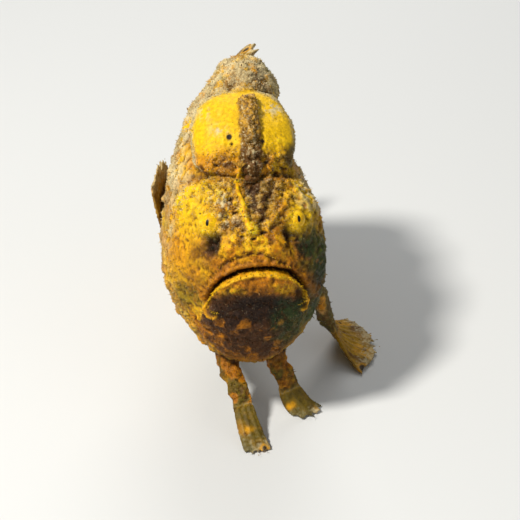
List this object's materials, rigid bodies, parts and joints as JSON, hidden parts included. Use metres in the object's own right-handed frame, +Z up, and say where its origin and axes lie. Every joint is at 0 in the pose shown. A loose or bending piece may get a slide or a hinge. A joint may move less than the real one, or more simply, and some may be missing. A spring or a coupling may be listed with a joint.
{
  "type": "frogfish model",
  "caption": "Life-size still model of a yellow frogfish standing on its fins, head raised, with a domed spine hood, a column-like second spine, a lure and a down-turned mouth.",
  "frame": {"origin": "on the floor, at the middle of the bounding box", "axes": "+Z up; the face looks along -Y and the tail is towards +Y; the fish's right side is at -X"},
  "size_m": [0.0738, 0.1356, 0.0995],
  "materials": {
    "skin": "rough warty skin, yellow",
    "flank": "rough crusted skin, tan over yellow",
    "spine": "rough skin, brown",
    "fin": "ribbed skin, olive yellow",
    "lure": "soft skin, cream",
    "eye": "glossy, dark pupil and yellow rays"
  },
  "bodies": {
    "root": {"head": "skin", "lower_jaw": "skin", "trunk": "flank", "tail_root": "flank", "eye_left": "eye", "eye_right": "eye", "lure": "lure", "dorsal_spine_2": "spine", "dorsal_spine_3": "skin", "dorsal_fin": "fin", "anal_fin": "fin", "tail_fin": "fin", "pectoral_fin_right": "flank", "pectoral_fin_left": "flank", "pelvic_fin_right": "fin", "pelvic_fin_left": "fin"}
  },
  "joints": []
}
